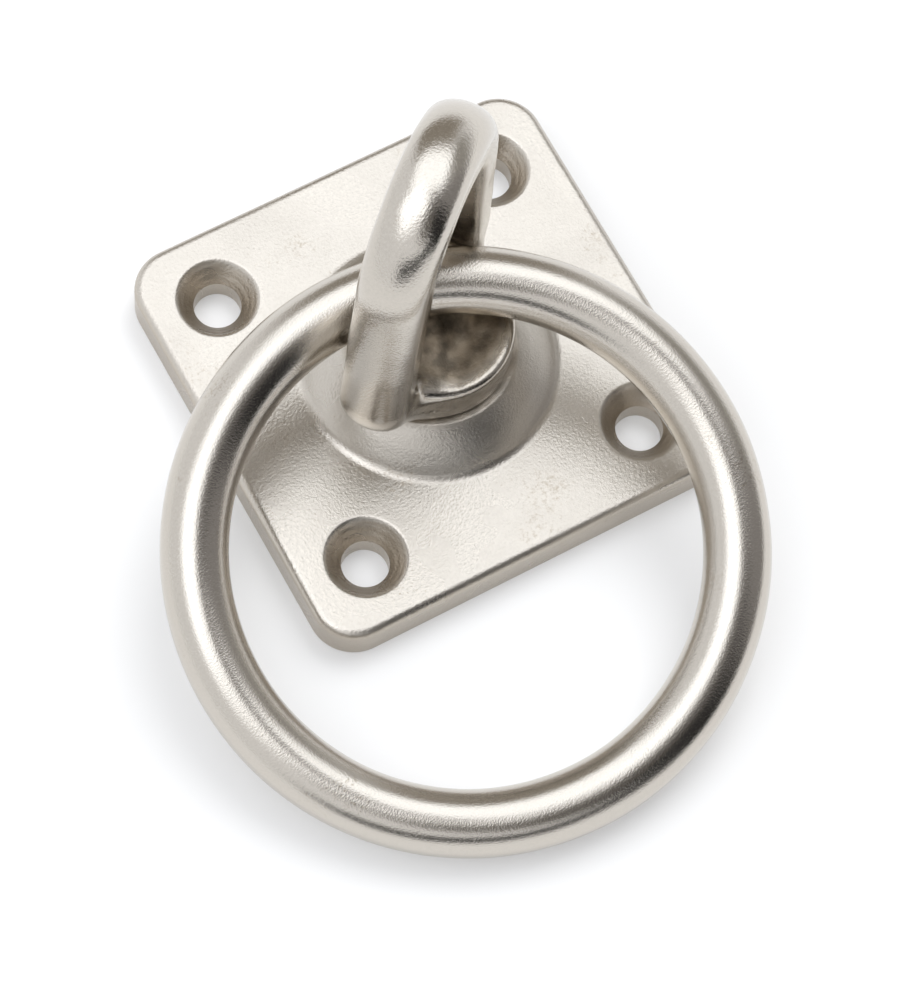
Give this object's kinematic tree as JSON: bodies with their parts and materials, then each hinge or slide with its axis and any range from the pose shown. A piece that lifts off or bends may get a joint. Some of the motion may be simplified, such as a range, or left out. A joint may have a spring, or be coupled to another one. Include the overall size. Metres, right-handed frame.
{
  "type": "pad eye",
  "caption": "Square screw-down base plate with a domed boss, an upright eye that swivels on it, and a free ring hanging in the eye for lines or clips.",
  "frame": {"origin": "centre of the square plate's flat back face, on the swivel axis", "axes": "+Z out of the mounting surface along the swivel axis, X and Y along the plate's sides"},
  "size_m": [0.0665, 0.0806, 0.0521],
  "materials": {
    "plate_metal": "nickel-plated casting, tumbled satin, fine grain",
    "eye_metal": "nickel-plated casting, bright, slightly rough in the recesses",
    "ring_metal": "nickel-plated round wire, welded, bright satin",
    "washer_metal": "plain plated washer"
  },
  "bodies": {
    "plate": {"base_plate": "plate_metal"},
    "eye": {"swivel_eye": "eye_metal", "rivet_washer": "washer_metal"},
    "ring": {"ring": "ring_metal"}
  },
  "joints": [
    {"name": "eye_swivel", "type": "hinge", "parent": "plate", "child": "eye", "pos_m": [0, 0, 0.0097], "axis": [0, 0, 1], "continuous": true},
    {"name": "ring_swing", "type": "hinge", "parent": "eye", "child": "ring", "pos_m": [0.00249, 0.00188, 0.02012], "axis": [-0.915, 0.4035, 0], "range_deg": [0, 212.9]}
  ]
}
